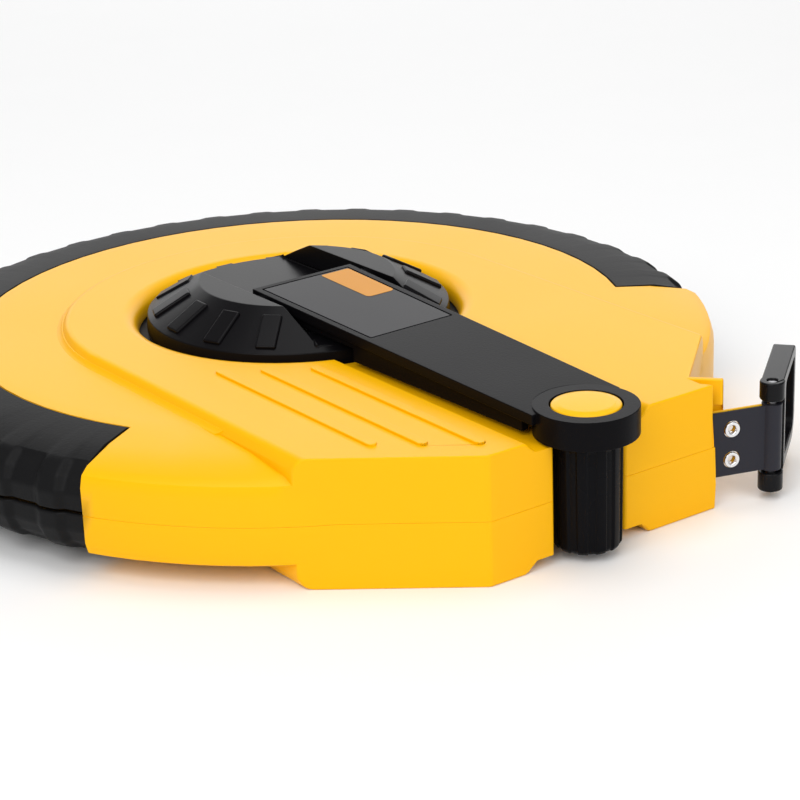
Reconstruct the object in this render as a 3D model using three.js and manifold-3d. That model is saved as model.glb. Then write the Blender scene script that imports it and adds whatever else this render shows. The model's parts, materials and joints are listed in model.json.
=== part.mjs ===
// Surveyor's closed-case tape reel: keyhole case in two shells, rubber bumper, tape drum,
// winding crank folded into its channel, and the tape end with its finger ring.
// Millimetres, +Z up. The origin is on the drum axis, on the underside of the case's boss.
// +X points along the stowed crank, from the drum axis to the nose.

import * as THREE from 'three';
import { mergeVertices } from 'three/addons/utils/BufferGeometryUtils.js';
import Module from 'manifold-3d';

const wasm = await Module();
wasm.setup();

// ---- Case ----
const CASE_T = 27.5; // over the raised bosses on both faces
const SEAM_Z = CASE_T / 2;
const BOSS_STEP = 2.3; // the bosses stand this far off the disc
const DISC_TOP = CASE_T - BOSS_STEP;
const DISC_R = 93.6;
const DISC_FLAT_R = 70; // inside this the disc is flat, outside it falls to the rim
const BOSS_FOOT_R = 53.8;
const BOSS_EDGE = [ // radius and height up the boss's side and over its rounded edge
  [53.1, 26.4], [52.7, 26.95], [52.2, 27.3], [51.4, CASE_T],
];
const BOSS_FILLET = [[54.9, 24.9], [54.6, 25.25], [54, 25.5], [53.5, 26]]; // where it meets the disc
const FILLET_REACH = 74; // beyond this the boss's side runs straight down past the disc
const CAVITY_R = 88.6;
const CAVITY_TOP = 22.9;
const NOSE_WALL = 2.2;
const NOSE_SHOULDER = { x: 99.2, y: 24.6 };
const NOSE_CORNER = { x: 77, y: 52 };
const MOUTH_LIP = { x: 100.5, y: 33.8 };
const GUIDE_ROOT = { x: 94.6, y: 31.5 }; // inner face of the guide plate behind the mouth
const GUIDE_TIP = { x: 99.8, y: 36 };
const GUIDE_T = 1.4;
const GUIDE_ROOTED = 1.5; // the plate runs this far into the nose wall
const WELL_BACK = { x: 98, y: 31.3 }; // near edge of the open mouth, behind the lip
const WELL_LIP_Y = 32.9;
const CHANNEL_HALF = 14.8; // channel across the hub
const CHANNEL_SIDE = [ // half width and height up the channel's side and over its edge
  [13.4, DISC_TOP], [14.9, 26.8], [15.3, 27.25], [16, CASE_T], [16.2, CASE_T + 1],
];
const CHANNEL_START = 34;
const HUB_OPENING_R = 36.4;
const HUB_OPENING_EDGE = [[36.7, 25.3], [37.3, 26.3], [38.2, 27.05], [39.1, 27.35], [40, CASE_T]];
const FACE_RIBS = [ // raised ribs beside the crank
  { y: -38, from: 26.5, to: 79.8 },
  { y: -30.4, from: 32, to: 86 },
  { y: -21.9, from: 38.1, to: 93 },
];
const RIB_WIDTH = 2.2;
const RIB_HEIGHT = 0.5;

// ---- Rubber bumper ----
const BUMPER_INNER_R = 74;
const BUMPER_OUTER_R = 93.9;
const BUMPER_END = 62; // degrees each side of +X where the bumper stops
const BUMPER_GAP = 0.25;
const BUMPER_STEPS = 40;

// ---- Drum and tape ----
const TAPE_WIDTH = 14.5;
const TAPE_THICK = 0.5;
const COIL_R = 83.2;
const CORE_R = 29.8;
const FLANGE_R = 84.4;
const FLANGE_T = 1.1;
const TAPE_LOW = SEAM_Z - TAPE_WIDTH / 2;
const TAPE_HIGH = SEAM_Z + TAPE_WIDTH / 2;
const AXLE_R = 3;
const MOUTH = { x: 99.46, y: 34.38 }; // where the tape's middle leaves the case
const TAPE_ANGLE = 71.5; // degrees from +X
const SLOT_NEAR = 1.2; // slot faces each side of the tape's middle
const SLOT_FAR = 1.3;
const SLOT_MARGIN = 1.1; // slot height beyond each edge of the tape

// ---- Crank ----
const HUB_FLOOR = 28.7; // bottom of the channel across the hub
const HUB_TOP = 34.3;
const HUB_TOP_R = 22.2;
const HUB_RIM_R = 34.2;
const HUB_RIM_Z = 27.5;
const HUB_BASE = 23.2;
const HUB_RIB_PITCH = 22.5;
const HINGE = { x: 4.2, z: 32.2 };
const HINGE_PIN_R = 1.15;
const ARM_ROOT_X = 1.9;
const ARM_ROOT_LOW = 30.6;
const ARM_ROOT_HALF = 13.3;
const ARM_TIP_HALF = 11.3;
const ARM_TOP_ROOT = 34.3;
const ARM_TOP_TIP = 31.1;
const ARM_PLATE = 2.2;
const ARM_WALL = 1.6;
const ARM_WALL_INSET = 0.9;
const GRIP_X = 98.9;
const GRIP_R = 7.2;
const GRIP_LOW = 2;
const GRIP_HIGH = 25.3;
const ARM_EYE_R = 10.6;
const ARM_EYE_LOW = 25.6;
const ARM_EYE_TOP = 31.6;
const NOTCH_R = 8.25; // round the stowed grip
const NOTCH_WALL = 1.2;
const NOTCH_MOUTH_HALF = 9.9;
const CAP_R = 7;

// ---- Tape end and ring ----
const BARREL_RUN = 12.7; // from the mouth to the ring pin, along the tape
const RING_ANGLE = 128; // degrees from +X, the way the ring is folded
const RING_BAND = 4.7;
const RING_LOW = 1.9;
const RING_HIGH = 25.9;
const EYE_R = 2.6;
const EYE_HEIGHT = 4;
const RING_PIN_R = 1;
const RING_OUTER = [ // x away from the pin, y up, r the corner's own radius
  { x: 0, y: 5.4, r: 0 }, { x: 23.4, y: 5.4, r: 5.5 }, { x: 23.4, y: RING_HIGH, r: 2 },
  { x: 0, y: RING_HIGH, r: 0 },
];
const RING_INNER = [
  { x: 4.7, y: 7.7, r: 1 }, { x: 21.1, y: 7.7, r: 3.3 }, { x: 21.1, y: 23.6, r: 0.8 },
  { x: 4.7, y: 23.6, r: 1 },
];

const FINE = 96; // facets round the case
const MEDIUM = 48;
const COARSE = 24;
const OVER = 1; // cutters run this far past what they cut

const YELLOW = 0xf6b912;
const BLACK = 0x26252b;
const RUBBER = 0x232227;
const STEEL = 0xb9bcc0;
const TAPE_YELLOW = 0xe8b62a;
const DRUM_BLACK = 0x2a2a2d;
const BRASS = 0xb08d57;

const rad = THREE.MathUtils.degToRad;
const tapeDir = new THREE.Vector2(Math.cos(rad(TAPE_ANGLE)), Math.sin(rad(TAPE_ANGLE)));
const tapeOut = new THREE.Vector2(tapeDir.y, -tapeDir.x); // square to the tape, off the drum

// ---------- solids ----------

function merged(geometry) {
  const plain = geometry.clone();
  plain.deleteAttribute('normal');
  plain.deleteAttribute('uv');
  const joined = mergeVertices(plain, 1e-4);
  const corners = Array.from(joined.index.array);
  const kept = [];
  for (let i = 0; i < corners.length; i += 3) {
    const [a, b, c] = corners.slice(i, i + 3);
    if (a !== b && b !== c && c !== a) kept.push(a, b, c);
  }
  return { points: joined.attributes.position.array, corners: kept };
}

function signedVolume(points, corners) {
  const at = (i) => new THREE.Vector3().fromArray(points, 3 * i);
  let total = 0;
  for (let i = 0; i < corners.length; i += 3) {
    total += at(corners[i]).dot(at(corners[i + 1]).cross(at(corners[i + 2])));
  }
  return total;
}

function solid(geometry) {
  const { points, corners } = merged(geometry);
  if (signedVolume(points, corners) < 0) corners.reverse();
  return new wasm.Manifold(new wasm.Mesh({
    numProp: 3,
    vertProperties: new Float32Array(points),
    triVerts: new Uint32Array(corners),
  }));
}

function geometryOf(body) {
  const mesh = body.getMesh();
  const geometry = new THREE.BufferGeometry();
  geometry.setAttribute('position', new THREE.BufferAttribute(mesh.vertProperties, 3));
  geometry.setIndex(new THREE.BufferAttribute(mesh.triVerts, 1));
  geometry.computeVertexNormals();
  return geometry;
}

const join = (first, ...others) => others.reduce((body, other) => body.add(other), first);
const cut = (first, ...others) => others.reduce((body, other) => body.subtract(other), first);

// A solid of revolution about +Z through (x, y). The profile is [radius, z] pairs.
function turned(profile, segments, x = 0, y = 0) {
  const geometry = new THREE.LatheGeometry(profile.map(([r, z]) => new THREE.Vector2(r, z)), segments);
  geometry.rotateX(Math.PI / 2);
  geometry.translate(x, y, 0);
  return solid(geometry);
}

function cylinder(radius, low, high, x = 0, y = 0, segments = COARSE) {
  return turned([[0, low], [radius, low], [radius, high], [0, high]], segments, x, y);
}

function tube(inner, outer, low, high, x = 0, y = 0, segments = COARSE) {
  const profile = [[inner, low], [outer, low], [outer, high], [inner, high], [inner, low]];
  return turned(profile, segments, x, y);
}

// Rings of equal length joined side by side. The flat contour gives the two end caps.
function skinned(rings, contour) {
  const count = rings[0].length;
  const last = (rings.length - 1) * count;
  const corners = [];
  for (let start = 0; start < last; start += count) {
    for (let i = 0; i < count; i += 1) {
      const a = start + i;
      const b = start + ((i + 1) % count);
      corners.push(a, b, b + count, a, b + count, a + count);
    }
  }
  const flat = contour.map(([u, v]) => new THREE.Vector2(u, v));
  const clockwise = THREE.ShapeUtils.isClockWise(flat);
  for (const face of THREE.ShapeUtils.triangulateShape(flat, [])) {
    const [a, b, c] = clockwise ? face.toReversed() : face;
    corners.push(c, b, a, last + a, last + b, last + c);
  }
  const geometry = new THREE.BufferGeometry();
  geometry.setAttribute('position', new THREE.Float32BufferAttribute(rings.flat(2), 3));
  geometry.setIndex(corners);
  return solid(geometry);
}

// A solid between outlines at rising heights. Each section is {outline: [[x, y], ...], z}.
function lofted(sections) {
  const rings = sections.map(({ outline, z }) => outline.map(([x, y]) => [x, y, z]));
  return skinned(rings, sections[0].outline);
}

function prism(outline, low, high) {
  return lofted([{ outline, z: low }, { outline, z: high }]);
}

function block(x0, x1, y0, y1, z0, z1) {
  const geometry = new THREE.BoxGeometry(x1 - x0, y1 - y0, z1 - z0);
  geometry.translate((x0 + x1) / 2, (y0 + y1) / 2, (z0 + z1) / 2);
  return solid(geometry);
}

// A prism along Y whose side view is [[x, z], ...].
function sideways(outline, y0, y1) {
  const shape = new THREE.Shape(outline.map(([x, z]) => new THREE.Vector2(x, z)));
  const geometry = new THREE.ExtrudeGeometry(shape, { depth: y1 - y0, bevelEnabled: false });
  geometry.rotateX(Math.PI / 2);
  geometry.translate(0, y1, 0);
  return solid(geometry);
}

// A rod along Y, centred on (x, z).
function crossRod(radius, x, z, y0, y1, segments = COARSE) {
  const circle = arc(x, z, radius, 0, 360 - 360 / segments, segments - 1);
  return sideways(circle, y0, y1);
}

// Points on an arc, from one angle in degrees to another.
function arc(x, y, radius, from, to, steps) {
  return Array.from({ length: steps + 1 }, (_, i) => {
    const angle = rad(from + ((to - from) * i) / steps);
    return [x + radius * Math.cos(angle), y + radius * Math.sin(angle)];
  });
}

// A cross-section of [radius, z] pairs carried round the axis between two angles.
function swept(section, from, to, steps) {
  const rings = Array.from({ length: steps + 1 }, (_, i) => {
    const angle = rad(from + ((to - from) * i) / steps);
    return section.map(([r, z]) => [r * Math.cos(angle), r * Math.sin(angle), z]);
  });
  return skinned(rings, section);
}

// ---------- the assembly ----------

const reel = new THREE.Group();

function piece(name, body, color, roughness, metalness = 0) {
  const material = new THREE.MeshStandardMaterial({ color, roughness, metalness });
  const mesh = new THREE.Mesh(geometryOf(body), material);
  mesh.name = name;
  reel.add(mesh);
}

// A point along the tape from the mouth, and off its middle line away from the drum.
function onTape(run, off = 0) {
  return [
    MOUTH.x + run * tapeDir.x + off * tapeOut.x,
    MOUTH.y + run * tapeDir.y + off * tapeOut.y,
  ];
}

function tapeSlab(run0, run1, off0, off1, low, high) {
  const outline = [onTape(run0, off0), onTape(run0, off1), onTape(run1, off1), onTape(run1, off0)];
  return prism(outline, low, high);
}

// ---------- case ----------

// The boss outline: a round about the drum axis with straight sides out to the nose.
function bossOutline(radius) {
  const slope = (NOSE_SHOULDER.x - NOSE_CORNER.x) / (NOSE_CORNER.y - NOSE_SHOULDER.y);
  const cornerX = NOSE_CORNER.x - (radius - NOSE_CORNER.y) * slope;
  return [
    ...arc(0, 0, radius, 90, 270, MEDIUM),
    [cornerX, -radius],
    [NOSE_SHOULDER.x, -NOSE_SHOULDER.y],
    [MOUTH_LIP.x, MOUTH_LIP.y],
    [GUIDE_ROOT.x - GUIDE_T / 2, GUIDE_ROOT.y + GUIDE_T / 2],
    [cornerX, radius],
  ];
}

const guideRun = new THREE.Vector2(GUIDE_TIP.x - GUIDE_ROOT.x, GUIDE_TIP.y - GUIDE_ROOT.y);
const guideLength = guideRun.length();
const guideDir = guideRun.clone().normalize();

// A point along the guide plate's inner face from its root, and off it away from the tape.
function onGuide(run, off = 0) {
  return [
    GUIDE_ROOT.x + run * guideDir.x - off * guideDir.y,
    GUIDE_ROOT.y + run * guideDir.y + off * guideDir.x,
  ];
}

// The plate that stands behind the tape at the mouth, above the seam only.
function guidePlate() {
  const outline = [
    onGuide(-GUIDE_ROOTED), onGuide(guideLength), onGuide(guideLength, GUIDE_T),
    onGuide(-GUIDE_ROOTED, GUIDE_T),
  ];
  return prism(outline, SEAM_Z, CASE_T);
}

// The open top of the mouth, between the lip and the guide plate.
function mouthWell() {
  const past = 4;
  return prism([
    onGuide(0), [WELL_BACK.x, WELL_BACK.y], [MOUTH_LIP.x, WELL_LIP_Y], [MOUTH_LIP.x + past, MOUTH_LIP.y],
    onGuide(guideLength + past),
  ], SEAM_Z - OVER, CASE_T + OVER);
}

// The stowed grip's bay, opening through the nose; grown by a wall's thickness for the cavity.
function notchOutline(grow) {
  const flare = arc(GRIP_X, 0, NOTCH_R + grow, 120, 240, COARSE / 2);
  const reach = MOUTH_LIP.x + OVER + grow;
  return [...flare, [reach, -NOTCH_MOUTH_HALF - grow], [reach, NOTCH_MOUTH_HALF + grow]];
}

// Screw axes: two in the nose corners and three round the back, under the bumper.
const CORNER_SCREWS = [[81.5, -40], [81.5, 40]];
const RIM_SCREWS = [105, 180, 255].map((a) => [87.5 * Math.cos(rad(a)), 87.5 * Math.sin(rad(a))]);
const SCREW_R = 1.3;
const SCREW_HEAD_R = 2.5;
const CORNER_HEAD_Z = 0.7;
const RIM_HEAD_Z = 6.6;
const SCREW_TOP = 20;

// Half of the case. at() turns a height in the upper half into this half's own height.
function caseHalf(at, details) {
  const disc = turned([
    [0, at(SEAM_Z)], [DISC_R, at(SEAM_Z)], [DISC_R, at(19.6)], [92.8, at(22)], [90.6, at(23.2)],
    [82, at(24.6)], [DISC_FLAT_R, at(DISC_TOP)], [0, at(DISC_TOP)],
  ], FINE);
  const boss = lofted([
    { outline: bossOutline(BOSS_FOOT_R), z: at(SEAM_Z) },
    { outline: bossOutline(BOSS_FOOT_R), z: at(DISC_TOP) },
    ...BOSS_EDGE.map(([radius, z]) => ({ outline: bossOutline(radius), z: at(z) })),
  ]);
  const fillet = lofted(BOSS_FILLET.map(([radius, z]) => ({ outline: bossOutline(radius), z: at(z) })));
  const reach = cylinder(FILLET_REACH, at(SEAM_Z), at(CASE_T), 0, 0, FINE);
  const seat = swept([
    [BUMPER_INNER_R - BUMPER_GAP, at(24.1)], [86, at(23.2)], [90.4, at(20.4)], [91, at(17)],
    [91, at(SEAM_Z - OVER)], [DISC_R + 4, at(SEAM_Z - OVER)], [DISC_R + 4, at(CASE_T + OVER)],
    [BUMPER_INNER_R - BUMPER_GAP, at(CASE_T + OVER)],
  ], BUMPER_END - 0.2, 360 - BUMPER_END + 0.2, BUMPER_STEPS);
  return cut(join(disc, boss, fillet.intersect(reach), ...details), seat, caseCavity(at));
}

// The hollow of one half: the drum's room and the nose, less the notch wall and screw posts.
function caseCavity(at) {
  const low = at(SEAM_Z - OVER);
  const drumRoom = turned([
    [0, low], [CAVITY_R, low], [CAVITY_R, at(19)], [FLANGE_R + 0.6, at(CAVITY_TOP)], [0, at(CAVITY_TOP)],
  ], MEDIUM);
  const noseRoom = prism([
    [60, -48], [NOSE_CORNER.x - 2, -48], [NOSE_SHOULDER.x - NOSE_WALL, -NOSE_SHOULDER.y + 1],
    [MOUTH_LIP.x - NOSE_WALL, 27], [GUIDE_ROOT.x - 1.9, 29.6], [NOSE_CORNER.x - 2, 48], [60, 48],
  ], low, at(CAVITY_TOP));
  const posts = [...CORNER_SCREWS, ...RIM_SCREWS].map(([x, y]) => (
    cylinder(SCREW_HEAD_R + 0.1, at(SEAM_Z - 2 * OVER), at(CASE_T), x, y)
  ));
  const bayWall = prism(notchOutline(NOTCH_WALL), at(SEAM_Z - 2 * OVER), at(CASE_T));
  return cut(join(drumRoom, noseRoom), bayWall, ...posts);
}

// A channel along X in the boss face, open at the nose.
function crankChannel(at, start) {
  const section = [
    ...CHANNEL_SIDE.map(([y, z]) => [y, at(z)]),
    ...CHANNEL_SIDE.toReversed().map(([y, z]) => [-y, at(z)]),
  ];
  const geometry = new THREE.ExtrudeGeometry(
    new THREE.Shape(section.map(([y, z]) => new THREE.Vector2(y, z))),
    { depth: MOUTH_LIP.x + OVER - start, bevelEnabled: false },
  );
  geometry.applyMatrix4(new THREE.Matrix4().makeBasis(
    new THREE.Vector3(0, 1, 0), new THREE.Vector3(0, 0, 1), new THREE.Vector3(1, 0, 0),
  ));
  geometry.translate(start, 0, 0);
  return solid(geometry);
}

const mouthSlot = tapeSlab(-9, 8, -SLOT_FAR, SLOT_NEAR, TAPE_LOW - SLOT_MARGIN, TAPE_HIGH + SLOT_MARGIN);
const gripBay = prism(notchOutline(0), -OVER, CASE_T + OVER);

function screwHoles(low, high) {
  return [...CORNER_SCREWS, ...RIM_SCREWS].map(([x, y]) => cylinder(SCREW_R + 0.2, low, high, x, y, 16));
}

function faceRib({ y, from, to }) {
  const half = RIB_WIDTH / 2;
  const outline = [...arc(from, y, half, 90, 270, 6), ...arc(to, y, half, -90, 90, 6)];
  return prism(outline, DISC_TOP, CASE_T + RIB_HEIGHT);
}

function makeCase() {
  const up = (z) => z;
  const down = (z) => CASE_T - z;
  const hubOpening = turned([
    [0, SEAM_Z], [HUB_OPENING_R, SEAM_Z], [HUB_OPENING_R, CAVITY_TOP + 0.6],
    ...HUB_OPENING_EDGE, [HUB_OPENING_EDGE.at(-1)[0], CASE_T + OVER], [0, CASE_T + OVER],
  ], FINE);
  const upper = cut(
    caseHalf(up, [guidePlate(), ...FACE_RIBS.map(faceRib)]),
    hubOpening,
    mouthWell(),
    crankChannel(up, CHANNEL_START),
    gripBay,
    mouthSlot,
    ...screwHoles(SEAM_Z - OVER, SCREW_TOP + 0.6),
  );
  const heads = [
    ...CORNER_SCREWS.map(([x, y]) => cylinder(SCREW_HEAD_R + 0.25, -OVER, CORNER_HEAD_Z + 2.6, x, y)),
    ...RIM_SCREWS.map(([x, y]) => cylinder(SCREW_HEAD_R - 0.3, 0, RIM_HEAD_Z + 2.1, x, y)),
  ];
  const lower = cut(
    caseHalf(down, []),
    crankChannel(down, 62),
    gripBay,
    mouthSlot,
    cylinder(AXLE_R + 0.1, 1.6, SEAM_Z),
    ...heads,
    ...screwHoles(0, SEAM_Z + OVER),
  );
  piece('upper_shell', upper, YELLOW, 0.38);
  piece('lower_shell', lower, YELLOW, 0.38);
}

function makeBumpers() {
  for (const [name, at] of [['upper', (z) => z], ['lower', (z) => CASE_T - z]]) {
    const section = [
      [BUMPER_INNER_R, at(25.4)], [83, at(24.8)], [89.8, at(23.4)], [92.5, at(21.2)],
      [BUMPER_OUTER_R, at(17.6)], [BUMPER_OUTER_R, at(SEAM_Z + 0.15)], [91.3, at(SEAM_Z + 0.15)],
      [91.3, at(17.1)], [90.7, at(20.7)], [86.1, at(23.5)], [BUMPER_INNER_R, at(24.4)],
    ];
    const body = swept(section, BUMPER_END, 360 - BUMPER_END, BUMPER_STEPS);
    piece(`rubber_bumper_${name}`, body, RUBBER, 0.7);
  }
}

function makeScrews() {
  const screw = (x, y, head, headR) => join(
    cylinder(headR, head, head + 1.8, x, y, 16),
    cylinder(SCREW_R, head + 1.4, SCREW_TOP, x, y, 12),
  );
  CORNER_SCREWS.forEach(([x, y], i) => {
    const name = `nose_screw_${i + 1}`;
    piece(name, screw(x, y, CORNER_HEAD_Z, SCREW_HEAD_R), STEEL, 0.35, 1);
  });
  RIM_SCREWS.forEach(([x, y], i) => {
    piece(`rim_screw_${i + 1}`, screw(x, y, RIM_HEAD_Z, SCREW_HEAD_R - 0.6), STEEL, 0.35, 1);
  });
}

// ---------- drum ----------

function makeDrum() {
  const rimIn = CORE_R - 3;
  const webLow = SEAM_Z - 1;
  const webHigh = SEAM_Z + 1;
  const low = TAPE_LOW - 0.2;
  const high = TAPE_HIGH + 0.2;
  const core = turned([
    [5.8, low], [9, low], [9, webLow], [rimIn, webLow], [rimIn, low], [CORE_R, low], [CORE_R, high],
    [rimIn, high], [rimIn, webHigh], [9, webHigh], [9, high], [5.8, high], [5.8, low],
  ], MEDIUM);
  const anchorR = 1.1;
  const anchorX = CORE_R - 1.5;
  const anchorBore = cylinder(anchorR + 0.15, TAPE_LOW, high + OVER, anchorX, 0, 12);
  const anchorSlit = block(anchorX, CORE_R + OVER, -0.5, 0.5, TAPE_LOW, high + OVER);
  piece('drum_core', cut(core, anchorBore, anchorSlit), DRUM_BLACK, 0.5);
  piece('tape_anchor_pin', cylinder(anchorR, TAPE_LOW + 0.3, TAPE_HIGH, anchorX, 0, 12), STEEL, 0.3, 1);
  const lowFlange = low - 0.1;
  const highFlange = high + 0.1;
  const lower = tube(5.8, FLANGE_R, lowFlange - FLANGE_T, lowFlange, 0, 0, MEDIUM);
  const upper = tube(14, FLANGE_R, highFlange, highFlange + FLANGE_T, 0, 0, MEDIUM);
  piece('drum_flange_lower', lower, DRUM_BLACK, 0.5);
  piece('drum_flange_upper', upper, DRUM_BLACK, 0.5);
  const coil = tube(CORE_R + 0.2, COIL_R, TAPE_LOW, TAPE_HIGH, 0, 0, MEDIUM);
  piece('tape_coil', coil, TAPE_YELLOW, 0.5);
  piece('drum_bush_lower', tube(AXLE_R + 0.05, 5.7, low, low + 3), BRASS, 0.35, 1);
  piece('drum_bush_upper', tube(AXLE_R + 0.05, 5.7, high - 3, high), BRASS, 0.35, 1);
  const axleTop = 22;
  const axle = cut(cylinder(AXLE_R, 1.8, axleTop), cylinder(1.6, 14, axleTop + OVER, 0, 0, 16));
  piece('drum_axle', axle, STEEL, 0.3, 1);
}

// ---------- crank ----------

function makeHub() {
  const stemIn = 10;
  const stemOut = 13;
  const boreTop = 24.4;
  const body = turned([
    [0, boreTop], [stemIn, boreTop], [stemIn, 16], [stemOut, 16], [stemOut, HUB_BASE],
    [HUB_RIM_R, HUB_BASE], [HUB_RIM_R + 0.3, HUB_BASE + 0.8], [HUB_RIM_R, HUB_RIM_Z],
    [HUB_TOP_R, HUB_TOP], [0, HUB_TOP],
  ], 72);
  const slope = Math.atan2(HUB_TOP - HUB_RIM_Z, HUB_RIM_R - HUB_TOP_R);
  const ribs = [];
  for (let angle = -24.5; angle > -24.5 - 360; angle -= HUB_RIB_PITCH) {
    const bar = new THREE.BoxGeometry(9, 4.2, 2.4);
    bar.rotateY(slope);
    bar.translate(28.4, 0, 29.95);
    bar.rotateZ(rad(angle));
    ribs.push(solid(bar));
  }
  const channel = block(-40, 40, -CHANNEL_HALF, CHANNEL_HALF, HUB_FLOOR, HUB_TOP + 4);
  const pinBore = crossRod(HINGE_PIN_R + 0.15, HINGE.x, HINGE.z, -17.4, 17.4, 16);
  const screwBore = cylinder(1.8, boreTop - OVER, HUB_FLOOR + OVER, 0, 0, 16);
  const screwSeat = cylinder(4.9, 26, HUB_FLOOR + OVER, 0, 0);
  piece('crank_hub', cut(join(body, ...ribs), channel, pinBore, screwBore, screwSeat), BLACK, 0.42);
  piece('arm_hinge_pin', crossRod(HINGE_PIN_R, HINGE.x, HINGE.z, -17, 17, 16), STEEL, 0.3, 1);
  piece('hub_washer', tube(1.8, 4.6, 26.1, 26.8, 0, 0), STEEL, 0.3, 1);
  const screw = join(cylinder(3.4, 26.95, 28.4), cylinder(1.4, 15, 27.2, 0, 0, 16));
  piece('hub_screw', screw, STEEL, 0.3, 1);
}

const armTop = (x) => (
  ARM_TOP_ROOT + ((ARM_TOP_TIP - ARM_TOP_ROOT) * (x - HINGE.x)) / (GRIP_X - HINGE.x)
);
const armHalf = (x) => (
  ARM_ROOT_HALF + ((ARM_TIP_HALF - ARM_ROOT_HALF) * (x - HINGE.x)) / (GRIP_X - HINGE.x)
);

// The arm's plan between two stations, drawn in by inset on both sides.
function armPlan(x0, x1, inset) {
  return [
    [x0, inset - armHalf(x0)], [x1, inset - armHalf(x1)],
    [x1, armHalf(x1) - inset], [x0, armHalf(x0) - inset],
  ];
}

// A slab under the arm's sloping top, between two depths below it.
function armSlab(plan, shallow, deep) {
  const xs = [-5, GRIP_X + 20];
  const side = [
    [xs[0], armTop(xs[0]) - deep], [xs[1], armTop(xs[1]) - deep],
    [xs[1], armTop(xs[1]) - shallow], [xs[0], armTop(xs[0]) - shallow],
  ];
  return prism(plan, 0, 60).intersect(sideways(side, -30, 30));
}

// One pair of side walls, from the plate down to a level edge.
function armWalls(x0, x1, low) {
  const shape = prism(armPlan(x0, x1, ARM_WALL_INSET), low, 60);
  const hollow = prism(armPlan(x0 - OVER, x1 + OVER, ARM_WALL_INSET + ARM_WALL), 0, 61);
  return cut(shape, hollow).intersect(armSlab(armPlan(-5, GRIP_X, 0), 1, 30));
}

function makeArm() {
  const tipX = 96;
  const hubClear = 38;
  const eyeStart = GRIP_X - ARM_EYE_R + 0.6;
  const plate = armSlab(armPlan(ARM_ROOT_X, tipX, 0), 0, ARM_PLATE);
  const root = sideways([
    [ARM_ROOT_X, HINGE.z], [ARM_ROOT_X + 0.5, ARM_ROOT_LOW], [HINGE.x + 2.6, ARM_ROOT_LOW],
    [HINGE.x + 2.6, HINGE.z],
  ], -ARM_ROOT_HALF, ARM_ROOT_HALF);
  const eye = cylinder(ARM_EYE_R, ARM_EYE_LOW, ARM_EYE_TOP, GRIP_X, 0, MEDIUM);
  const labelBed = armSlab(armPlan(3.4, 43, 1.6), -OVER, 0.5);
  const arm = cut(
    join(plate, root, armWalls(6, hubClear, 29.4), armWalls(hubClear - 0.5, eyeStart + 3, 26.4), eye),
    crossRod(HINGE_PIN_R + 0.2, HINGE.x, HINGE.z, -20, 20, 16),
    cylinder(CAP_R + 0.3, 29.8, ARM_EYE_TOP + OVER, GRIP_X, 0, MEDIUM),
    cylinder(2.4, ARM_EYE_LOW - OVER, 31, GRIP_X, 0),
    labelBed,
  );
  piece('crank_arm', arm, BLACK, 0.42);
  piece('arm_label', armSlab(armPlan(3.7, 42.7, 1.9), 0.02, 0.38), 0x35333b, 0.5);
  const cap = turned([
    [0, 30.1], [CAP_R, 30.1], [CAP_R, 31.5], [CAP_R - 1, 31.8], [4, 32.05], [0, 32.1],
  ], MEDIUM, GRIP_X, 0);
  piece('grip_cap', cap, YELLOW, 0.35);
}

function makeGrip() {
  const flutes = [];
  const fluteCount = 11;
  for (let i = 0; i < fluteCount; i += 1) {
    const angle = rad((360 * i) / fluteCount);
    const x = GRIP_X + (GRIP_R + 0.35) * Math.cos(angle);
    const y = (GRIP_R + 0.35) * Math.sin(angle);
    flutes.push(cylinder(0.9, 4.5, GRIP_HIGH + OVER, x, y, 8));
  }
  const body = turned([
    [0, GRIP_LOW], [GRIP_R - 1, GRIP_LOW], [GRIP_R - 0.3, GRIP_LOW + 0.7], [GRIP_R, GRIP_HIGH],
    [0, GRIP_HIGH],
  ], MEDIUM, GRIP_X, 0);
  const bore = cylinder(2.55, 4, GRIP_HIGH + OVER, GRIP_X, 0);
  const seat = cylinder(4.6, 0, 4.9, GRIP_X, 0);
  piece('grip', cut(body, bore, seat, ...flutes), BLACK, 0.35);
  const axle = cut(
    cylinder(2.3, 5.2, 29.5, GRIP_X, 0),
    cylinder(1.5, 4, 13, GRIP_X, 0, 12),
  );
  piece('grip_axle', axle, STEEL, 0.3, 1);
  piece('grip_washer', tube(1.5, 4.2, 4.1, 4.7, GRIP_X, 0), STEEL, 0.3, 1);
  const screw = join(cylinder(3.4, 2.1, 3.95, GRIP_X, 0), cylinder(1.3, 3.6, 12.5, GRIP_X, 0, 12));
  piece('grip_screw', screw, STEEL, 0.3, 1);
}

// ---------- tape end ----------

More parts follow.
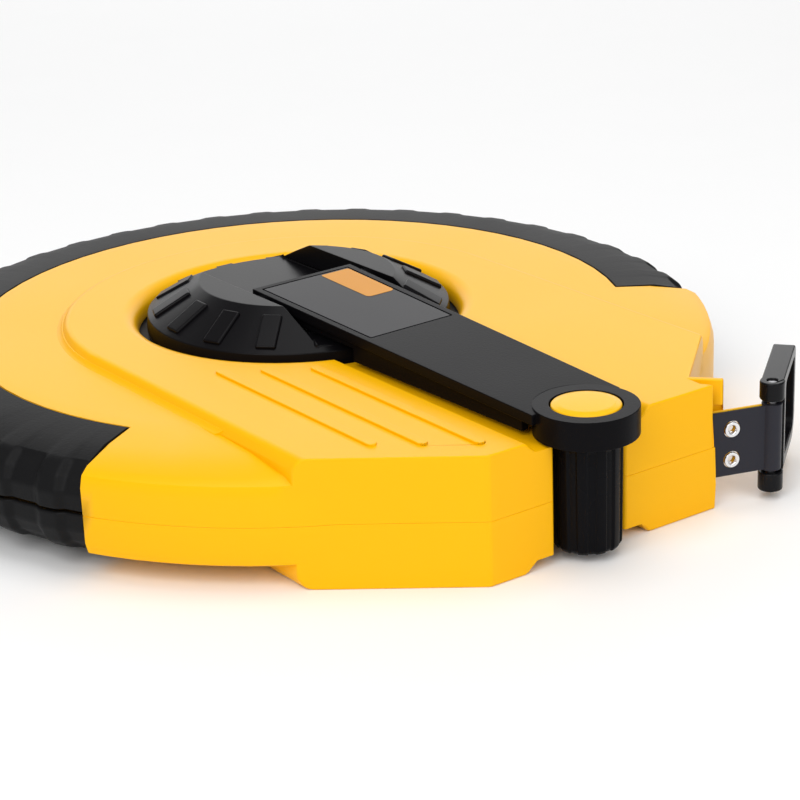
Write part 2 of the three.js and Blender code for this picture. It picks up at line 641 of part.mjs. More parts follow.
function makeTapeEnd() {
  const tangentRun = -Math.sqrt(MOUTH.x ** 2 + MOUTH.y ** 2 - COIL_R ** 2);
  const half = TAPE_THICK / 2;
  const patchStart = -1;
  const loopR = 2.15;
  const strip = tapeSlab(tangentRun, BARREL_RUN - loopR - 0.3, -half, half, TAPE_LOW, TAPE_HIGH);
  const eyelets = [16.8, 10.1];
  const eyeletRun = 3.4;
  const eyeletR = 1.75;
  const bore = (z, radius) => tapeRod(eyeletRun, z, radius, -2, 2);
  piece('tape_strip', cut(strip, ...eyelets.map((z) => bore(z, eyeletR + 0.15))), TAPE_YELLOW, 0.45);
  const [bx, by] = onTape(BARREL_RUN);
  const loop = cylinder(loopR, TAPE_LOW, TAPE_HIGH, bx, by);
  const patch = tapeSlab(patchStart, BARREL_RUN, half + 0.1, half + 0.6, TAPE_LOW + 0.2, TAPE_HIGH - 0.2);
  const sleeve = cut(
    join(patch, loop),
    cylinder(RING_PIN_R + 0.15, 0, CASE_T, bx, by, 16),
    ...eyelets.map((z) => bore(z, eyeletR + 0.15)),
  );
  piece('tape_reinforcement', sleeve, BLACK, 0.5);
  eyelets.forEach((z, i) => {
    const ring = cut(tapeRod(eyeletRun, z, eyeletR, -0.6, 1.1), tapeRod(eyeletRun, z, 0.7, -2, 2));
    piece(`tape_eyelet_${i + 1}`, ring, STEEL, 0.25, 1);
  });
}

// A rod square to the tape, at a run along it and a height.
function tapeRod(run, z, radius, off0, off1) {
  const geometry = new THREE.CylinderGeometry(radius, radius, off1 - off0, 16);
  geometry.rotateZ(Math.atan2(tapeOut.y, tapeOut.x) - Math.PI / 2);
  const [x, y] = onTape(run, (off0 + off1) / 2);
  geometry.translate(x, y, z);
  return solid(geometry);
}

// A closed outline through corners, each {x, y, r} turned with its own radius.
function roundedOutline(corners, steps) {
  const count = corners.length;
  return corners.flatMap(({ x, y, r }, i) => {
    const here = new THREE.Vector2(x, y);
    if (r === 0) return [[x, y]];
    const before = corners[(i + count - 1) % count];
    const after = corners[(i + 1) % count];
    const back = new THREE.Vector2(before.x, before.y).sub(here).normalize();
    const on = new THREE.Vector2(after.x, after.y).sub(here).normalize();
    const half = Math.acos(back.dot(on)) / 2;
    const centre = back.clone().add(on).normalize().multiplyScalar(r / Math.sin(half)).add(here);
    const foot = back.clone().multiplyScalar(r / Math.tan(half)).add(here).sub(centre);
    const sense = Math.sign(on.cross(back));
    const sweep = sense * (Math.PI - 2 * half);
    return Array.from({ length: steps + 1 }, (_, k) => {
      const spoke = foot.clone().rotateAround(new THREE.Vector2(), (sweep * k) / steps);
      return [centre.x + spoke.x, centre.y + spoke.y];
    });
  });
}

function inRingPlane(outline, width) {
  const shape = new THREE.Shape(outline.map(([u, z]) => new THREE.Vector2(u, z)));
  const geometry = new THREE.ExtrudeGeometry(shape, { depth: width, bevelEnabled: false });
  geometry.translate(0, 0, -width / 2);
  geometry.rotateX(Math.PI / 2);
  geometry.rotateZ(rad(RING_ANGLE));
  const [bx, by] = onTape(BARREL_RUN);
  geometry.translate(bx, by, 0);
  return solid(geometry);
}

function makeRing() {
  const [bx, by] = onTape(BARREL_RUN);
  const outer = inRingPlane(roundedOutline(RING_OUTER, 6), RING_BAND);
  const band = cut(outer, inRingPlane(roundedOutline(RING_INNER, 4), RING_BAND + 2 * OVER));
  const lowEye = cylinder(EYE_R, RING_LOW, RING_LOW + EYE_HEIGHT, bx, by);
  const highEye = cylinder(EYE_R, RING_HIGH - EYE_HEIGHT, RING_HIGH, bx, by);
  const [roomLow, roomHigh] = [RING_LOW + EYE_HEIGHT, RING_HIGH - EYE_HEIGHT];
  const tapeRoom = inRingPlane(
    [[-EYE_R - OVER, roomLow], [EYE_R, roomLow], [EYE_R, roomHigh], [-EYE_R - OVER, roomHigh]],
    RING_BAND + 4 * OVER,
  );
  const bore = cylinder(RING_PIN_R + 0.1, RING_LOW + 0.8, RING_HIGH + OVER, bx, by, 16);
  piece('finger_ring', cut(join(band, lowEye, highEye), tapeRoom, bore), BLACK, 0.3);
  piece('ring_pin', cylinder(RING_PIN_R, RING_LOW + 1, RING_HIGH - 0.4, bx, by, 16), STEEL, 0.3, 1);
}

makeCase();
makeBumpers();
makeScrews();
makeDrum();
makeHub();
makeArm();
makeGrip();
makeTapeEnd();
makeRing();

export default reel;
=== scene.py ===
"""Surveyor's closed-case tape reel on a pale studio floor.

Lengths are in metres in the part's own frame: +Z along the drum axis, +X along the stowed crank.
Pieces written here ride on the part's bodies; the other nodes keep their own meshes and take a finish.
"""

import json
import math

import bmesh
import bpy
import numpy as np
from mathutils import Matrix, Vector


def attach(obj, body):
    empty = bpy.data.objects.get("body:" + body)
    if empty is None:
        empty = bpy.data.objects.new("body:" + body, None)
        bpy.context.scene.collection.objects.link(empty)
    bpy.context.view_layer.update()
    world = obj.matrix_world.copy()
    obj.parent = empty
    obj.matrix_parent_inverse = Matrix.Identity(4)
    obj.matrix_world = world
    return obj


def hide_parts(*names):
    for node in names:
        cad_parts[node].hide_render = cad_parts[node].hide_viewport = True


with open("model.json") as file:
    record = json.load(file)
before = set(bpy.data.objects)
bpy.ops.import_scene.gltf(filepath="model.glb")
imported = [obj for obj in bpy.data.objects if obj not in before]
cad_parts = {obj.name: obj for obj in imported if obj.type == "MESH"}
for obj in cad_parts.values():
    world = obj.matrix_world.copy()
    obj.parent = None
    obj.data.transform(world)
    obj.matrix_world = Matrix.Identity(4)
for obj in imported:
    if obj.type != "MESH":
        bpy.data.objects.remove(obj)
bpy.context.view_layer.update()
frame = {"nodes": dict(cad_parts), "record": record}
nodes = frame["nodes"]

MM = 0.001
CASE_TOP = 27.5
MOUTH = np.array([99.46, 34.38])
TAPE_ANGLE = math.radians(71.5)
TAPE_DIR = np.array([math.cos(TAPE_ANGLE), math.sin(TAPE_ANGLE)])
TAPE_OUT = np.array([TAPE_DIR[1], -TAPE_DIR[0]])
GRIP_X = 98.9
HINGE = (4.2, 32.2)
ARM_TOP_ROOT = 34.3
ARM_TOP_FALL = 3.2


# ---------- meshes ----------


def smoothstep(low, high, value):
    """0 below low, 1 above high, and 3t^2 - 2t^3 of the share of the way between."""
    t = np.clip((value - low) / (high - low), 0, 1)
    return t * t * (3 - 2 * t)


def new_piece(name, points, faces):
    """A mesh object from points in millimetres and faces of point numbers, smooth shaded."""
    mesh = bpy.data.meshes.new(name)
    mesh.from_pydata((np.asarray(points, float) * MM).tolist(), [], faces)
    mesh.validate()
    mesh.polygons.foreach_set("use_smooth", np.ones(len(mesh.polygons), bool))
    mesh.update()
    obj = bpy.data.objects.new(name, mesh)
    bpy.context.scene.collection.objects.link(obj)
    return obj


def grid_faces(rows, columns, wrap_rows, wrap_columns):
    """Quads between the neighbours of a rows x columns grid of points, closed round where asked."""
    r = np.arange(rows if wrap_rows else rows - 1)[:, None]
    c = np.arange(columns if wrap_columns else columns - 1)[None, :]
    r2 = (r + 1) % rows
    c2 = (c + 1) % columns
    quads = np.stack(
        [r * columns + c, r * columns + c2, r2 * columns + c2, r2 * columns + c], axis=-1
    )
    return quads.reshape(-1, 4).tolist()


def outward(obj):
    """Turns every face of a closed piece to point away from its inside."""
    bm = bmesh.new()
    bm.from_mesh(obj.data)
    bmesh.ops.recalc_face_normals(bm, faces=bm.faces)
    bm.to_mesh(obj.data)
    bm.free()
    return obj


def round_path(corners, steps):
    """A path through (a, b, radius) corners, each corner turned on an arc of its radius.

    The arc touches both sides at radius / tan(half the corner's angle) from the corner.
    """
    points = []
    for i, (a, b, radius) in enumerate(corners):
        here = np.array([a, b], float)
        if radius == 0 or i in (0, len(corners) - 1):
            points.append(here)
            continue
        back = np.array(corners[i - 1][:2], float) - here
        on = np.array(corners[i + 1][:2], float) - here
        back /= np.linalg.norm(back)
        on /= np.linalg.norm(on)
        half = math.acos(np.clip(back @ on, -1, 1)) / 2
        middle = (back + on) / np.linalg.norm(back + on)
        centre = here + middle * radius / math.sin(half)
        start = here + back * radius / math.tan(half) - centre
        end = here + on * radius / math.tan(half) - centre
        t = np.linspace(0, 1, steps + 1)[:, None]
        sweep = math.pi - 2 * half
        arc = (np.sin((1 - t) * sweep) * start + np.sin(t * sweep) * end) / math.sin(sweep)
        points.extend(centre + arc)
    return np.array(points)


def turned(name, profile, segments, centre=(0, 0), radius_at=None):
    """A profile of (radius, z) turned about a vertical axis.

    radius_at, where given, takes the radius, height and angle of every point and gives a new radius.
    A profile that starts and ends on the axis is closed there with one point each. Any other is
    joined end to start, and leaves a bore.
    """
    angle = np.linspace(0, 2 * math.pi, segments, endpoint=False)[None, :]
    bored = profile[0, 0] > 0
    outline = profile if bored else profile[1:-1]
    r = np.repeat(outline[:, :1], segments, axis=1)
    z = np.repeat(outline[:, 1:], segments, axis=1)
    if radius_at is not None:
        r = radius_at(r, z, angle)
    x = centre[0] + r * np.cos(angle)
    y = centre[1] + r * np.sin(angle)
    points = np.stack([x, y, z], axis=-1).reshape(-1, 3)
    rows = len(outline)
    faces = grid_faces(rows, segments, bored, True)
    if bored:
        return outward(new_piece(name, points, faces))
    ends = [[centre[0], centre[1], profile[0, 1]], [centre[0], centre[1], profile[-1, 1]]]
    points = np.vstack([points, ends])
    first = rows * segments
    last = (rows - 1) * segments
    ring = np.arange(segments)
    faces += np.stack([np.full(segments, first), (ring + 1) % segments, ring], axis=1).tolist()
    faces += np.stack(
        [np.full(segments, first + 1), last + ring, last + (ring + 1) % segments], axis=1
    ).tolist()
    return outward(new_piece(name, points, faces))


def finished_copy(name, node, width, weight, segments=3):
    """A copy of a node's mesh with its doubles merged, its flat faces joined and its edges rounded.

    weight takes every edge's middle, its two ends and whether it is an inside corner, and gives the
    share of the width that the edge gets.
    """
    bm = bmesh.new()
    bm.from_mesh(nodes[node].data)
    bmesh.ops.remove_doubles(bm, verts=bm.verts, dist=2e-6)
    bmesh.ops.dissolve_limit(
        bm, angle_limit=math.radians(0.5), verts=bm.verts, edges=bm.edges
    )
    mesh = bpy.data.meshes.new(name)
    turn = np.array([e.calc_face_angle_signed(0.0) for e in bm.edges])
    bm.to_mesh(mesh)
    bm.free()
    for layer in list(mesh.uv_layers):
        mesh.uv_layers.remove(layer)
    points = np.zeros(len(mesh.vertices) * 3)
    mesh.vertices.foreach_get("co", points)
    points = points.reshape(-1, 3) / MM
    ends = np.zeros(len(mesh.edges) * 2, int)
    mesh.edges.foreach_get("vertices", ends)
    ends = ends.reshape(-1, 2)
    a, b = points[ends[:, 0]], points[ends[:, 1]]
    sharp = np.abs(turn) > math.radians(24)
    share = np.where(sharp, weight((a + b) / 2, a, b, turn < 0), 0.0)
    weights = mesh.attributes.new("bevel_weight_edge", "FLOAT", "EDGE")
    weights.data.foreach_set("value", share.astype(np.float32))
    hard = mesh.attributes.new("sharp_edge", "BOOLEAN", "EDGE")
    hard.data.foreach_set("value", sharp & (share == 0))
    mesh.polygons.foreach_set("use_smooth", np.ones(len(mesh.polygons), bool))
    obj = bpy.data.objects.new(name, mesh)
    bpy.context.scene.collection.objects.link(obj)
    rounding = obj.modifiers.new("rounded edges", "BEVEL")
    rounding.limit_method = "WEIGHT"
    rounding.width = width * MM
    rounding.segments = segments
    rounding.use_clamp_overlap = False
    rounding.loop_slide = True
    rounding.miter_outer = "MITER_ARC"
    shading = obj.modifiers.new("even shading", "WEIGHTED_NORMAL")
    shading.keep_sharp = True
    return obj


def place(obj, body, slot, material, *replaced):
    """Rides a piece on its body and gives it its finish."""
    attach(obj, body)
    if replaced:
        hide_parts(*replaced)
    obj.data.materials.clear()
    obj.data.materials.append(material)
    return obj


# ---------- finishes ----------


def group_socket(group, name, kind, way, value=None):
    """A socket on a node group, with its default where one is given."""
    socket = group.interface.new_socket(name=name, in_out=way, socket_type=kind)
    if value is not None:
        socket.default_value = value
    return socket


def moulded_surface():
    """Moulded plastic or rubber: slow drifts of colour and gloss, and a fine grain.

    Colour runs from Colour to Shade by a slow noise, roughness adds a slow noise to its own value,
    and the height is a fine noise at the grain's pitch.
    """
    group = bpy.data.node_groups.new("moulded surface", "ShaderNodeTree")
    group_socket(group, "Colour", "NodeSocketColor", "INPUT", (0.8, 0.8, 0.8, 1))
    group_socket(group, "Shade", "NodeSocketColor", "INPUT", (0.7, 0.7, 0.7, 1))
    group_socket(group, "Roughness", "NodeSocketFloat", "INPUT", 0.4)
    group_socket(group, "Gloss drift", "NodeSocketFloat", "INPUT", 0.05)
    group_socket(group, "Grain pitch", "NodeSocketFloat", "INPUT", 2500)
    group_socket(group, "Colour", "NodeSocketColor", "OUTPUT")
    group_socket(group, "Roughness", "NodeSocketFloat", "OUTPUT")
    group_socket(group, "Height", "NodeSocketFloat", "OUTPUT")
    add = group.nodes.new
    link = group.links.new
    given = add("NodeGroupInput")
    result = add("NodeGroupOutput")
    position = add("ShaderNodeTexCoord")
    drift = add("ShaderNodeTexNoise")
    drift.inputs["Scale"].default_value = 34
    drift.inputs["Detail"].default_value = 2
    link(position.outputs["Object"], drift.inputs["Vector"])
    blend = add("ShaderNodeMix")
    blend.data_type = "RGBA"
    link(drift.outputs["Fac"], blend.inputs["Factor"])
    link(given.outputs["Colour"], blend.inputs["A"])
    link(given.outputs["Shade"], blend.inputs["B"])
    gloss = add("ShaderNodeMath")
    gloss.operation = "MULTIPLY_ADD"
    link(drift.outputs["Fac"], gloss.inputs[0])
    link(given.outputs["Gloss drift"], gloss.inputs[1])
    link(given.outputs["Roughness"], gloss.inputs[2])
    grain = add("ShaderNodeTexNoise")
    grain.inputs["Detail"].default_value = 3
    link(position.outputs["Object"], grain.inputs["Vector"])
    link(given.outputs["Grain pitch"], grain.inputs["Scale"])
    link(blend.outputs["Result"], result.inputs["Colour"])
    link(gloss.outputs["Value"], result.inputs["Roughness"])
    link(grain.outputs["Fac"], result.inputs["Height"])
    return group


def moulded(name, colour, shade, roughness, drift, pitch, depth, specular=0.15):
    """A finish on the moulded surface group. depth is the bump's height in metres."""
    material = bpy.data.materials.new(name)
    material.use_nodes = True
    tree = material.node_tree
    shader = tree.nodes["Principled BSDF"]
    surface = tree.nodes.new("ShaderNodeGroup")
    surface.node_tree = MOULDED
    surface.inputs["Colour"].default_value = (*colour, 1)
    surface.inputs["Shade"].default_value = (*shade, 1)
    surface.inputs["Roughness"].default_value = roughness
    surface.inputs["Gloss drift"].default_value = drift
    surface.inputs["Grain pitch"].default_value = pitch
    bump = tree.nodes.new("ShaderNodeBump")
    bump.inputs["Strength"].default_value = 1.0
    bump.inputs["Distance"].default_value = depth
    link = tree.links.new
    link(surface.outputs["Colour"], shader.inputs["Base Color"])
    link(surface.outputs["Roughness"], shader.inputs["Roughness"])
    link(surface.outputs["Height"], bump.inputs["Height"])
    link(bump.outputs["Normal"], shader.inputs["Normal"])
    shader.inputs["Specular IOR Level"].default_value = specular
    return material


def metal(name, colour, roughness, drift, pitch, depth):
    """A metal on the moulded surface group, a little darker in the slow noise."""
    material = moulded(name, colour, tuple(0.85 * c for c in colour), roughness, drift, pitch, depth)
    shader = material.node_tree.nodes["Principled BSDF"]
    shader.inputs["Metallic"].default_value = 1.0
    shader.inputs["Specular IOR Level"].default_value = 0.5
    return material


MOULDED = moulded_surface()
case_yellow = moulded(
    "case yellow", (1.0, 0.505, 0.001), (0.99, 0.495, 0.001), 0.30, 0.06, 2600, 0.000008, 0.15
)
bumper_rubber = moulded(
    "bumper rubber", (0.004, 0.004, 0.0045), (0.006, 0.006, 0.0065), 0.46, 0.10, 1500, 0.00004, 0.13
)
crank_black = moulded(
    "crank black", (0.003, 0.0028, 0.0035), (0.005, 0.0046, 0.0056), 0.30, 0.08, 2000, 0.00002, 0.05
)
hub_black = moulded(
    "hub black", (0.003, 0.0028, 0.0035), (0.005, 0.0046, 0.0056), 0.28, 0.06, 2000, 0.00001, 0.10
)
label_grey = moulded(
    "label grey", (0.008, 0.0075, 0.010), (0.010, 0.0095, 0.012), 0.32, 0.05, 3000, 0.000008
)
label_orange = moulded(
    "label orange", (0.70, 0.30, 0.035), (0.68, 0.29, 0.033), 0.40, 0.05, 3000, 0.000006
)
cap_yellow = moulded(
    "cap yellow", (1.0, 0.53, 0.006), (0.98, 0.52, 0.006), 0.24, 0.05, 2600, 0.000006
)
grip_black = moulded(
    "grip black", (0.002, 0.002, 0.003), (0.003, 0.003, 0.004), 0.24, 0.06, 2000, 0.000008, 0.07
)
ring_black = moulded(
    "ring black", (0.004, 0.004, 0.005), (0.005, 0.005, 0.006), 0.22, 0.08, 1800, 0.000010
)
patch_black = moulded(
    "patch black", (0.022, 0.022, 0.030), (0.026, 0.026, 0.034), 0.38, 0.08, 2600, 0.000010
)
tape_yellow = moulded(
    "tape yellow", (0.90, 0.52, 0.02), (0.84, 0.46, 0.02), 0.36, 0.08, 3200, 0.000012
)
drum_black = moulded(
    "drum black", (0.012, 0.012, 0.013), (0.015, 0.015, 0.016), 0.45, 0.08, 1800, 0.00002
)
screw_steel = metal("screw steel", (0.58, 0.58, 0.60), 0.28, 0.12, 3500, 0.000006)
bush_brass = metal("bush brass", (0.66, 0.47, 0.20), 0.28, 0.12, 3500, 0.000006)
eyelet_nickel = metal("eyelet nickel", (0.86, 0.86, 0.87), 0.12, 0.10, 2600, 0.000004)

FINISH = {
    "case_yellow": case_yellow,
    "bumper_rubber": bumper_rubber,
    "screw_steel": screw_steel,
    "drum_black": drum_black,
    "bush_brass": bush_brass,
    "tape_yellow": tape_yellow,
    "crank_black": crank_black,
    "label_grey": label_grey,
    "cap_yellow": cap_yellow,
    "grip_black": grip_black,
    "patch_black": patch_black,
    "eyelet_nickel": eyelet_nickel,
    "ring_black": ring_black,
}
for part in frame["record"]["subparts"]:
    carried = nodes[part["node"]]
    carried.data.materials.clear()
    carried.data.materials.append(FINISH[part["material_slot"]])


# ---------- case ----------


def shell_edges(upper):
    """Edge rounding for a shell: full on the nose's uprights, less on its rims, little at the seam.

    The boss, the hub opening and the crank channel have rounded edges of their own in the part.
    """

    def weight(middle, a, b, inner):
        x, y = middle[:, 0], middle[:, 1]
        z = middle[:, 2] if upper else CASE_TOP - middle[:, 2]
        r = np.hypot(x, y)
        level = np.abs(a[:, 2] - b[:, 2]) < 0.2
        share = np.zeros(len(middle))
        on_top = np.abs(z - CASE_TOP) < 0.1
        share[on_top & level & (x > 60) & ~inner] = 0.6
        share[(z > CASE_TOP + 0.1) & (y < -20)] = 0.35
        outer_seam = (z < 14) & ((r > 92) | (np.abs(y) > 51) | (x > 97))
        share[outer_seam] = 0.3
        upright = ~level & (x > 60) & ((r > 90) | (np.abs(y) > 50)) & ~inner
        share[upright] = 1.0
        return share

    return weight


upper_case = finished_copy("upper_case", "upper_shell", 0.5, shell_edges(True))
place(upper_case, "case", "case_yellow", case_yellow, "upper_shell")
lower_case = finished_copy("lower_case", "lower_shell", 0.5, shell_edges(False))
place(lower_case, "case", "case_yellow", case_yellow, "lower_shell")


# ---------- rubber bumper ----------

BUMPER_END = 62
BUMPER_STEPS = 945
PAD_START = 63.1
PAD_PITCH = 8.3
PAD_DEPTH = 0.85
PAD_FADE = (87.8, 90.6)
SHOULDER_DROP = 0.65


def bumper(name, node, upper):
    """A closed section carried round the case from one end of the bumper to the other.

    Once in every pitch the outer wall climbs to a pad and falls back, each on a smoothstep over a
    sixth of the pitch. The pads fade out up the shoulder, towards the drum axis. Only the outer skin
    moves: what is past radius 91.7, or above the line 0.62 r + z = 78.
    """
    section = round_path(
        [
            (83, 24.72, 0), (74.06, 25.08, 0.2), (74.05, 24.45, 0), (86.1, 23.55, 0), (90.7, 20.7, 0),
            (91.35, 17.1, 0), (91.35, 14.05, 0), (93.75, 14.05, 0.5), (93.85, 17.6, 3),
            (92.4, 21.1, 3), (89.7, 23.35, 4), (83, 24.72, 0),
        ],
        6,
    )[:-1]
    r0, z0 = section[:, 0], section[:, 1].copy()
    skin = (r0 > 91.7) | (0.62 * r0 + z0 > 78)
    if not upper:
        z0 = CASE_TOP - z0
    angle = np.linspace(BUMPER_END, 360 - BUMPER_END, BUMPER_STEPS)[:, None]
    phase = ((angle - PAD_START) / PAD_PITCH) % 1
    climb = smoothstep(0.42, 0.58, phase) * (1 - smoothstep(0.84, 1.0, phase))
    fade = smoothstep(*PAD_FADE, r0) * skin
    radius = r0[None, :] - PAD_DEPTH * fade[None, :] * (1 - climb)
    drop = SHOULDER_DROP * fade * smoothstep(17.5, 21, section[:, 1])
    height = z0[None, :] + (-1 if upper else 1) * drop[None, :] * (1 - climb)
    a = np.radians(angle)
    points = np.stack([radius * np.cos(a), radius * np.sin(a), height], axis=-1)
    rows, columns = points.shape[:2]
    faces = grid_faces(rows, columns, False, True)
    faces.append(list(range(columns)))
    faces.append(list(range((rows - 1) * columns, rows * columns)))
    obj = outward(new_piece(name, points.reshape(-1, 3), faces))
    shading = obj.modifiers.new("even shading", "WEIGHTED_NORMAL")
    shading.keep_sharp = True
    return place(obj, "case", "bumper_rubber", bumper_rubber, node)


bumper("bumper_upper_rubber", "rubber_bumper_upper", True)
bumper("bumper_lower_rubber", "rubber_bumper_lower", False)


# ---------- crank ----------


def every_edge(middle, a, b, inner):
    """The same rounding on every sharp edge."""
    return np.ones(len(middle))


def hub_edges(middle, a, b, inner):
    """Rounding on the hub above its foot. The bore under it keeps its edges."""
    return np.where(middle[:, 2] > 23.6, 1.0, 0.0)


def arm_edges(middle, a, b, inner):
    """Full rounding on the arm's top edges, none at the pin's bore or inside the eye."""
    r_eye = np.hypot(middle[:, 0] - GRIP_X, middle[:, 1])
    bore = (np.hypot(middle[:, 0] - HINGE[0], middle[:, 2] - HINGE[1]) < 1.6) | (r_eye < 3)
    return np.where(bore, 0.0, 1.0)


place(
    finished_copy("winding_hub", "crank_hub", 0.22, hub_edges, 2),
    "crank_hub", "crank_black", hub_black, "crank_hub",
)

HUB_SLOPE = math.atan2(6.8, 12.0)
BAR_START = -24.5
BAR_PITCH = 22.5
BAR_MIDDLE = [28.4, 0, 30.0]
BAR_ROUNDING = 0.5
CHANNEL_HALF = 14.8
BAR_SIZE = np.array([9.5, 4.6, 2.7])
CUBE = np.array([[x, y, z] for x in (-0.5, 0.5) for y in (-0.5, 0.5) for z in (-0.5, 0.5)])
CUBE_FACES = [[0, 1, 3, 2], [4, 6, 7, 5], [0, 4, 5, 1], [2, 3, 7, 6], [0, 2, 6, 4], [1, 5, 7, 3]]


def hub_bars():
    """Rounded finger bars on the hub's cone, on the pitch of its ribs.

    Each is a box tipped to the cone's slope, moved out to its radius and turned about the drum axis.
    Bars that would reach the crank channel are left out.
    """
    points = []
    faces = []
    cos_s, sin_s = math.cos(HUB_SLOPE), math.sin(HUB_SLOPE)
    tip = np.array([[cos_s, 0, sin_s], [0, 1, 0], [-sin_s, 0, cos_s]])
    for count in range(int(360 / BAR_PITCH) + 1):
        angle = math.radians(BAR_START - count * BAR_PITCH)
        cos_a, sin_a = math.cos(angle), math.sin(angle)
        around = np.array([[cos_a, -sin_a, 0], [sin_a, cos_a, 0], [0, 0, 1]])
        corners = ((CUBE * BAR_SIZE) @ tip.T + BAR_MIDDLE) @ around.T
        if np.abs(corners[:, 1]).min() < CHANNEL_HALF + 0.4:
            continue
        faces += [[len(points) * 8 + i for i in face] for face in CUBE_FACES]
        points.append(corners)
    obj = outward(new_piece("hub_finger_bars", np.vstack(points), faces))
    rounding = obj.modifiers.new("rounded edges", "BEVEL")
    rounding.width = BAR_ROUNDING * MM
    rounding.segments = 3
    shading = obj.modifiers.new("even shading", "WEIGHTED_NORMAL")
    shading.keep_sharp = True
    return place(obj, "crank_hub", "crank_black", hub_black)


hub_bars()

place(
    finished_copy("folding_arm", "crank_arm", 0.16, arm_edges, 2),
    "crank_arm", "crank_black", crank_black, "crank_arm",
)
place(
    finished_copy("label_film", "arm_label", 0.06, every_edge, 1),
    "crank_arm", "label_grey", label_grey, "arm_label",
)


def arm_top(x):
    """The height of the arm's sloping top at x, in millimetres."""
    return ARM_TOP_ROOT - ARM_TOP_FALL * (x - HINGE[0]) / (GRIP_X - HINGE[0])


def colour_patch():
    """A thin rounded rectangle that follows the arm's slope, on the label by the hinge."""
    outline = round_path(
        [
            (15, 3.6, 0), (22.4, 3.6, 1.2), (22.4, 10.9, 1.2), (4.3, 11.2, 0.6), (4.3, 3.6, 0.6),
            (15, 3.6, 0),
        ],
        5,
    )[:-1]
    heights = arm_top(outline[:, 0])
    low = np.column_stack([outline, heights - 0.1])
    high = np.column_stack([outline, heights + 0.03])
    count = len(outline)
    faces = grid_faces(2, count, False, True)
    faces += [list(range(count)), list(range(count, 2 * count))]
    obj = outward(new_piece("label_colour_patch", np.vstack([low, high]), faces))
    obj.data.polygons.foreach_set("use_smooth", np.zeros(len(obj.data.polygons), bool))
    return place(obj, "crank_arm", "label_grey", label_orange)


colour_patch()

cap_profile = round_path(
    [(0, 30.1, 0), (7, 30.1, 0), (7, 31.55, 0.45), (5.5, 31.95, 3), (0, 32.08, 0)], 6
)
place(
    turned("grip_button", cap_profile, 72, (GRIP_X, 0)),
    "crank_arm", "cap_yellow", cap_yellow, "grip_cap",
)

GRIP_FLUTES = 11
FLUTE_DEPTH = 0.42
COLLAR = (23.9, 24.3)


def fluted(r, z, angle):
    """The radius less a flat-bottomed flute, outside the bore only. Flutes stop short of the collar."""
    wave = smoothstep(-0.05, 0.35, np.cos(GRIP_FLUTES * angle))
    depth = FLUTE_DEPTH * (r > 5.4) * (1 - smoothstep(*COLLAR, z))
    return r - depth * wave


grip_profile = np.vstack(
    [
        round_path(
            [
                (2.56, 25.3, 0), (2.56, 4.9, 0), (4.6, 4.9, 0), (4.6, 2.0, 0), (6.4, 2.0, 0.4),
                (6.9, 2.75, 0.5), (7.0, 5.8, 0),
            ],
            4,
        ),
        np.stack([np.linspace(7.0, 7.2, 41)[1:], np.linspace(5.8, 25.1, 41)[1:]], axis=1),
        [[7.0, 25.3]],
    ]
)
place(
    turned("fluted_grip", grip_profile, 264, (GRIP_X, 0), fluted),
    "grip", "grip_black", grip_black, "grip",
)


# ---------- tape end ----------

place(
    finished_copy("finger_loop", "finger_ring", 0.32, every_edge, 3),
    "end_ring", "ring_black", ring_black, "finger_ring",
)
place(
    finished_copy("tape_end_patch", "tape_reinforcement", 0.05, every_edge, 1),
    "tape_end", "patch_black", patch_black, "tape_reinforcement",
)


EYELET_ALONG = 3.4


def eyelet(name, node, height):
    """A flanged eyelet turned about the line that is square to the tape, with a rolled edge."""
    section = round_path(
        [
            (0.75, -0.5, 0), (1.65, -0.5, 0), (1.65, 0.85, 0), (1.65, 1.08, 0.12), (1.0, 1.08, 0.3),
            (0.75, 0.6, 0),
        ],
        4,
    )
    angle = np.linspace(0, 2 * math.pi, 48, endpoint=False)[None, :]
    r, off = section[:, :1], section[:, 1:]
    along = EYELET_ALONG + r * np.cos(angle)
    x = MOUTH[0] + along * TAPE_DIR[0] + off * TAPE_OUT[0]
    y = MOUTH[1] + along * TAPE_DIR[1] + off * TAPE_OUT[1]
    z = height + r * np.sin(angle)
    points = np.stack([x, y, z], axis=-1)
    rows, columns = points.shape[:2]
    faces = grid_faces(rows, columns, True, True)
    obj = outward(new_piece(name, points.reshape(-1, 3), faces))
    return place(obj, "tape_end", "eyelet_nickel", eyelet_nickel, node)


eyelet("tape_eyelet_upper", "tape_eyelet_1", 16.8)
eyelet("tape_eyelet_lower", "tape_eyelet_2", 10.1)


# ---------- floor, light and camera ----------

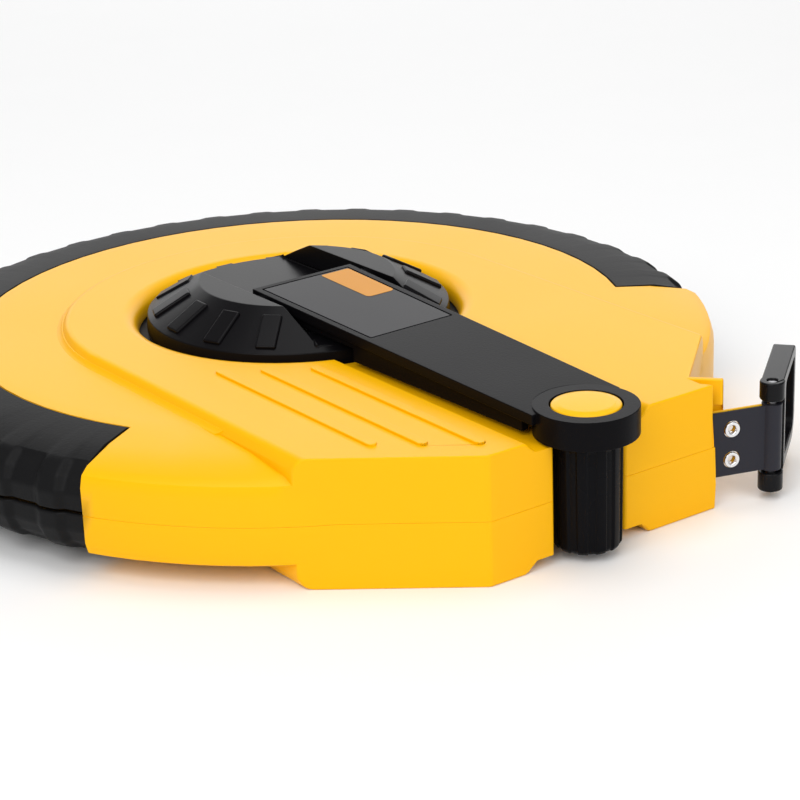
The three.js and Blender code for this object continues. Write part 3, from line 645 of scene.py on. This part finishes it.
floor_material = moulded(
    "pale floor", (0.95, 0.95, 0.95), (0.94, 0.94, 0.94), 0.75, 0.02, 300, 0.00001
)
FLOOR_HALF = 4000
FLOOR_Z = -0.05
floor = new_piece(
    "studio_floor",
    [[x * FLOOR_HALF, y * FLOOR_HALF, FLOOR_Z] for x, y in ((-1, -1), (1, -1), (1, 1), (-1, 1))],
    [[0, 1, 2, 3]],
)
floor.data.materials.append(floor_material)

world = bpy.data.worlds.new("studio")
bpy.context.scene.world = world
world.use_nodes = True
world.node_tree.nodes["Background"].inputs["Color"].default_value = (1, 1, 1, 1)
world.node_tree.nodes["Background"].inputs["Strength"].default_value = 0.3


def softbox(name, width, height, power, place_at):
    """A rectangular area light at place_at that faces the origin. Metres and watts."""
    data = bpy.data.lights.new(name, "AREA")
    data.shape = "RECTANGLE"
    data.size = width
    data.size_y = height
    data.energy = power
    lamp = bpy.data.objects.new(name, data)
    lamp.visible_camera = False
    lamp.location = place_at
    lamp.rotation_mode = "QUATERNION"
    lamp.rotation_quaternion = (-Vector(place_at)).to_track_quat("-Z", "Y")
    bpy.context.scene.collection.objects.link(lamp)


softbox("overhead_softbox", 0.9, 0.9, 5.8, (0.0, 0.1, 1.3))
softbox("front_softbox", 0.8, 0.8, 6.6, (0.45, -0.75, 0.75))
softbox("nose_softbox", 0.7, 0.7, 3.6, (1.0, 0.1, 0.7))
softbox("back_panel", 1.3, 0.7, 3.9, (-0.85, 0.6, 0.42))

CAMERA_AT = (0.41479, -0.27541, 0.19462)
FORWARD = Vector((-0.7536, 0.5503, -0.3595)).normalized()
LEVEL_RIGHT = Vector((0.5898, 0.8076, 0))
LEVEL_UP = Vector((-0.2903, 0.2120, 0.9331))
ROLL = math.radians(2.18)
camera_right = (math.cos(ROLL) * LEVEL_RIGHT - math.sin(ROLL) * LEVEL_UP).normalized()
camera_up = camera_right.cross(FORWARD).normalized()
camera_turn = Matrix((camera_right, camera_up, -FORWARD)).transposed()
camera_data = bpy.data.cameras.new("camera")
camera_data.sensor_width = 36
camera_data.lens = 103.9
camera_data.clip_start = 0.01
camera_data.clip_end = 20
camera = bpy.data.objects.new("camera", camera_data)
camera.matrix_world = Matrix.Translation(CAMERA_AT) @ camera_turn.to_4x4()
bpy.context.scene.collection.objects.link(camera)
bpy.context.scene.camera = camera
bpy.context.scene.view_settings.view_transform = "Standard"
